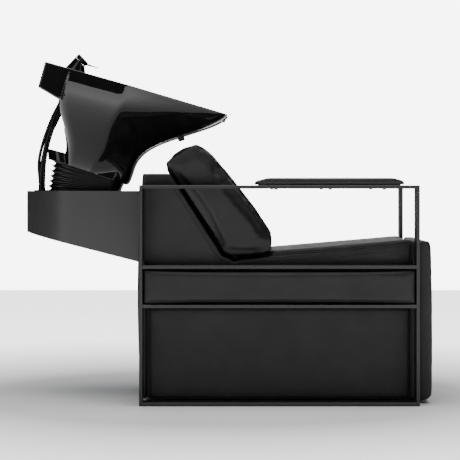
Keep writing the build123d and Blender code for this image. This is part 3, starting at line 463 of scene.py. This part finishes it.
def sewing(name, skins, lines, body=SEAT_BODY, cord=0.0011, stitch=True, beside=0.006):
    """Seam lines on skins: a thin raised cord where the hides meet, and one row of stitches beside it."""
    verts, faces = [], []

    def add(rings):
        base = len(verts)
        more, quads = skin(rings)
        verts.extend(more)
        faces.extend(tuple(i + base for i in quad) for quad in quads)

    trees = [tree_of(s) for s in skins]
    for which, line, off in lines:
        tree = trees[which]
        points = laid(tree, spaced(line, 0.004), 0.0002)
        add(sweep(points, cord, 6))
        if not stitch:
            continue
        row = laid(tree, [p + Vector(off) * beside for p in spaced(line, 0.0055)], 0.0003)
        for a, b in zip(row, row[1:]):
            if (b - a).length < 0.012:
                add(sweep([a, a.lerp(b, 0.65)], 0.00045, 5))
    return piece(name, verts, faces, body, "leather")


# ---------------------------------------------------------------- basin
def glazed_basin():
    """The basin's shape with the soft edges of poured and glazed ceramic."""
    obj = copy_of("basin", "glazed_basin")
    remesh(obj, 0.0022, 5)
    finish_piece(obj, BASIN_BODY, "glazed_basin")
    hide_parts("basin")


# ---------------------------------------------------------------- upholstery
def seat_seam(x):
    """Height in millimetres of the seam under the seat cushion's top."""
    return 440 + 0.0823 * (x - 136)


def mm(points, y=None):
    """Points in millimetres to vectors in metres; (x, z) pairs take y from the call."""
    rows = [(p[0], y, p[1]) if len(p) == 2 else p for p in points]
    return [Vector(p) * MM for p in rows]


def crease(depth, wide, ends, y_half=0.235):
    """Push points inwards along a line across the width, like a fold in the hide."""
    a, b = (Vector((x, 0, z)) * MM for x, z in ends)
    along = (b - a).normalized()
    inward = Vector((along.z, 0, -along.x))
    inward = inward if inward.x < 0 else -inward

    def shape(co):
        flat = Vector((co.x, 0, co.z))
        away = (flat - a.lerp(b, 0.5 + 0.06 * math.sin(co.y * 31))).length
        fade = max(0.0, 1 - (abs(co.y) / y_half) ** 4)
        return co + inward * depth * fade * math.exp(-((away / wide) ** 2))

    return shape


def upholstery():
    """Pads, cushions and panels in leather, each with its seams and stitches."""
    skins = {}
    for side, _ in SIDES:
        skins[side + "_armrest_pad"] = padded_copy(
            side + "_armrest_pad", 0.005, 4, 0.002, keep=lambda co: Vector((co.x, co.y, max(co.z, 0.6515))),
            divided=True,
        )
        skins[side + "_band_cushion"] = padded_copy(
            side + "_band_cushion", 0.005, 5, 0.005, divided=True,
            keep=lambda co: Vector((co.x, co.y, min(max(co.z, 0.2993), 0.4047))),
        )
        for panel in ("_lower_side_panel", "_upper_side_panel"):
            skins[side + panel] = padded_copy(side + panel, 0.004, 4)
    for panel in ("rear_panel", "top_panel"):
        skins[panel] = padded_copy(panel, 0.004, 4)
    skins["front_panel"] = padded_copy("front_panel", 0.006, 4, 0.003, divided=True)
    skins["seat_cushion"] = padded_copy(
        "seat_cushion", 0.006, 4, 0.006, mask=lambda co: 1.0 if co.z > 0.44 else 0.15, divided=True
    )
    skins["backrest_cushion"] = padded_copy(
        "backrest_cushion", 0.006, 5, 0.007, mask=lambda co: 1.0 if co.z > 0.46 else 0.2,
        shape=crease(0.006, 0.012, ((-30, 712), (-8, 690))), divided=True,
    )
    for side, sign in SIDES:
        edge = [(x, seat_seam(x) - 13) for x in (40, 200, 380, 545)]
        diagonal = [(-172, 672), (-26, 440), (20, 415)]
        sewing(
            side + "_panel_seams",
            [skins[side + "_upper_side_panel"], skins[side + "_lower_side_panel"]],
            [
                (0, mm(diagonal + edge, sign * 238), (0, 0, -1)),
                (0, mm([(-238, 680), (-172, 680)], sign * 238), (0, 0, -1)),
                (1, mm([(-222, 276), (542, 276)], sign * 238), (0, 0, -1)),
                (1, mm([(-222, 24), (542, 24)], sign * 238), (0, 0, 1)),
            ],
        )
        sewing(
            side + "_rail_seams",
            [skins[side + "_armrest_pad"], skins[side + "_band_cushion"]],
            [
                (0, mm([(98, 657), (524, 657)], sign * 309), (0, 0, 1)),
                (1, mm([(-232, 396), (552, 396)], sign * 309), (0, 0, -1)),
                (1, mm([(-232, 308), (552, 308)], sign * 309), (0, 0, 1)),
            ],
        )
    front = [(-46, 740), (-8, 696), (82, 581), (138, 492)]
    top = [(150, 451), (280, 461), (420, 472), (560, 484)]
    sewing(
        "cushion_seams",
        [skins["backrest_cushion"], skins["seat_cushion"], skins["front_panel"]],
        [(0, mm(front, y), (0, -y / abs(y), 0)) for y in (-229, 229)]
        + [(1, mm(top, y), (0, -y / abs(y), 0)) for y in (-231, 231)]
        + [(2, mm([(617, 20), (617, 470)], y), (0, -y / abs(y), 0)) for y in (-228, 228)]
        + [(1, mm([(566, -225, 484), (566, 225, 484)]), (-1, 0, 0))],
    )


# ---------------------------------------------------------------- bellows
def rounded_box(x0, x1, half, count=96):
    """Points (along, across) evenly numbered round a rounded rectangle."""
    cx, hx = (x0 + x1) / 2, (x1 - x0) / 2
    out = []
    for k in range(count):
        a = 2 * math.pi * (k + 0.5) / count
        c, s = math.cos(a), math.sin(a)
        power = 2 / 5.0
        out.append((cx + hx * math.copysign(abs(c) ** power, c), half * math.copysign(abs(s) ** power, s)))
    return out


def bellows():
    """Pleated rubber gaiter with a 2 mm wall that fans open towards the rear."""
    low = [Vector((x, y, 635.2)) for x, y in rounded_box(-551, -326, 105)]
    rear, front = Vector((-536, 0, 729.1)), Vector((-315, 0, 655.6))
    slope = (front - rear).normalized()
    high = [rear + slope * x + Vector((0, y, 0)) for x, y in rounded_box(2, 231, 105)]
    pleats, steps = 6, 8
    outer = []
    for k in range(pleats * steps + 1):
        t = k / (pleats * steps)
        ring = []
        middle = Vector((-438, 0, 635)).lerp(Vector((-426, 0, 692)), t)
        for a, b in zip(low, high):
            inward = middle - a.lerp(b, t)
            inward.z = 0
            wave = 0.5 - 0.5 * math.cos(2 * math.pi * k / steps)
            depth = min(11.0, (b - a).length * 0.125) * wave ** 0.75
            ring.append((a.lerp(b, t) + inward.normalized() * depth) * MM)
        outer.append(ring)
    inner = []
    for ring in outer:
        centre = sum(ring, Vector()) / len(ring)
        inner.append([p + (centre - p).normalized() * 0.002 for p in ring])
    rings = outer + inner[::-1] + [outer[0]]
    verts, faces = skin(rings, close_ends=False)
    obj = piece("pleated_bellows", verts, faces, None, "black_rubber")
    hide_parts("bellows")
    way = Vector((0.16, 0, 0.987))
    start = Vector((-0.438, 0, 0.62))
    start += way * (0.550 - start.dot(way))
    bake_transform(obj)


# ---------------------------------------------------------------- hoses
def from_rim(u, y, n):
    """Millimetres along, across and off the basin's rim, in the frame's millimetres."""
    return (-538 + 0.9627 * u + 0.2706 * n, y, 1021.4 - 0.2706 * u + 0.9627 * n)


ROUTES = {
    "hot_hose": (
        0.005, 0.370,
        [from_rim(60, -11, -35.2), (-506, -16, 925), (-532, -28, 862), (-553, -40, 792),
         (-567, -52, 722), (-572, -60, 668), (-572, -62, 618)],
    ),
    "cold_hose": (
        0.005, 0.374,
        [from_rim(60, 11, -35.2), (-508, 8, 926), (-538, -4, 868), (-563, -18, 800),
         (-580, -30, 730), (-576, -36, 680), (-572, -38, 643), (-572, -38.4, 618)],
    ),
    "shower_hose": (
        0.005, 0.977,
        [from_rim(77, 0, -35.2), (-494, 0, 922), (-520, -2, 862), (-551, -6, 800), (-568, -10, 732),
         (-573, -12, 668), (-572, -12, 610), (-572, -12, 552), (-572, 7, 517), (-572, 43, 517),
         (-572, 62, 552), (-572, 62, 612), (-573, 63, 672), (-570, 70, 736), (-556, 80, 800),
         (-535, 92, 862), (-514, 104, 922), from_rim(60, 110, -37.2)],
    ),
    "waste_hose": (
        0.016, 0.107,
        [from_rim(190, 0, -262.3), (-435, 0, 684), (-437.5, 0, 648), (-437.5, 0, 612)],
    ),
}


def route(controls, steps=10):
    """Points along the smooth curve that the hose's control points pull."""
    p = [Vector(c) * MM for c in controls]
    out = [p[0]]
    start = p[0]
    for i in range(1, len(p) - 1):
        end = p[-1] if i == len(p) - 2 else p[i].lerp(p[i + 1], 0.5)
        for k in range(1, steps + 1):
            t = k / steps
            out.append(start * (1 - t) ** 2 + p[i] * 2 * t * (1 - t) + end * t * t)
        start = end
    return out


def hoses():
    """Flexible hoses under the deck, bending between the bracket and the basin."""
    for name, (radius, length, controls) in ROUTES.items():
        points = route(controls)
        verts, faces = skin(sweep(points, radius, 20))
        obj = piece(name + "_tube", verts, faces, None, "hose_black")
        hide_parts(name)
        if name == "waste_hose":
            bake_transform(obj)
            continue
        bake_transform(obj)


# ---------------------------------------------------------------- studio
def panel_light(name, spot, aim, size, power):
    data = bpy.data.lights.new(name, "AREA")
    data.shape = "RECTANGLE"
    data.size, data.size_y = size
    data.energy = power
    obj = bpy.data.objects.new(name, data)
    obj.location = spot
    obj.rotation_euler = (Vector(aim) - Vector(spot)).to_track_quat("-Z", "Y").to_euler()
    bpy.context.scene.collection.objects.link(obj)


def studio():
    """Pale floor that glows with painted light away from the unit, white surroundings, large soft lights
    and dark flags for the glaze to mirror.
    """
    pale = floor_with_painted_light()
    verts = [(-6, -6, -0.0006), (6, -6, -0.0006), (6, 6, -0.0006), (-6, 6, -0.0006)]
    floor = piece("floor", verts, [(0, 1, 2, 3)], None, None)
    floor.data.materials.append(pale)
    dark = Shader("dark_flag", roughness=1.0, specular=0.0)
    dark.colour(dark.noise(2.0), [(0.3, grey(0.002)), (0.7, grey(0.003))])
    for name, x in (("rear_flag", -2.6), ("front_flag", 2.8)):
        verts = [(x, -3.2, 0.0), (x, 3.2, 0.0), (x, 3.2, 3.0), (x, -3.2, 3.0)]
        flag = piece(name, verts, [(0, 1, 2, 3)], None, None)
        flag.data.materials.append(dark.material)
        flag.visible_camera = False
    panel_light("overhead", (0.1, -0.6, 3.2), (0, 0, 0.4), (3.0, 2.2), 80)
    panel_light("front_left", (-1.8, -3.2, 1.9), (0, 0, 0.5), (1.6, 1.6), 13)
    panel_light("front_right", (2.2, -3.0, 1.4), (0.1, 0, 0.5), (1.4, 2.0), 9)
    panel_light("behind", (0.2, 3.4, 2.0), (0, 0, 0.5), (3.0, 1.5), 22)
    world = bpy.data.worlds.new("surroundings")
    bpy.context.scene.world = world
    world.use_nodes = True
    nodes, links = world.node_tree.nodes, world.node_tree.links
    seen = nodes["Background"]
    seen.inputs["Color"].default_value = (1, 1, 1, 1)
    seen.inputs["Strength"].default_value = 7.0
    lit = nodes.new("ShaderNodeBackground")
    lit.inputs["Color"].default_value = (0.93, 0.96, 1.0, 1)
    lit.inputs["Strength"].default_value = 0.35
    rays, mix = nodes.new("ShaderNodeLightPath"), nodes.new("ShaderNodeMixShader")
    dim, blend = nodes.new("ShaderNodeBackground"), nodes.new("ShaderNodeMixShader")
    dim.inputs["Strength"].default_value = 0.1
    links.new(rays.outputs["Is Glossy Ray"], blend.inputs["Fac"])
    links.new(lit.outputs["Background"], blend.inputs[1])
    links.new(dim.outputs["Background"], blend.inputs[2])
    links.new(rays.outputs["Is Camera Ray"], mix.inputs["Fac"])
    links.new(blend.outputs["Shader"], mix.inputs[1])
    links.new(seen.outputs["Background"], mix.inputs[2])
    links.new(mix.outputs["Shader"], nodes["World Output"].inputs["Surface"])


camera()
dress_cad()
glazed_basin()
upholstery()
bellows()
hoses()
studio()
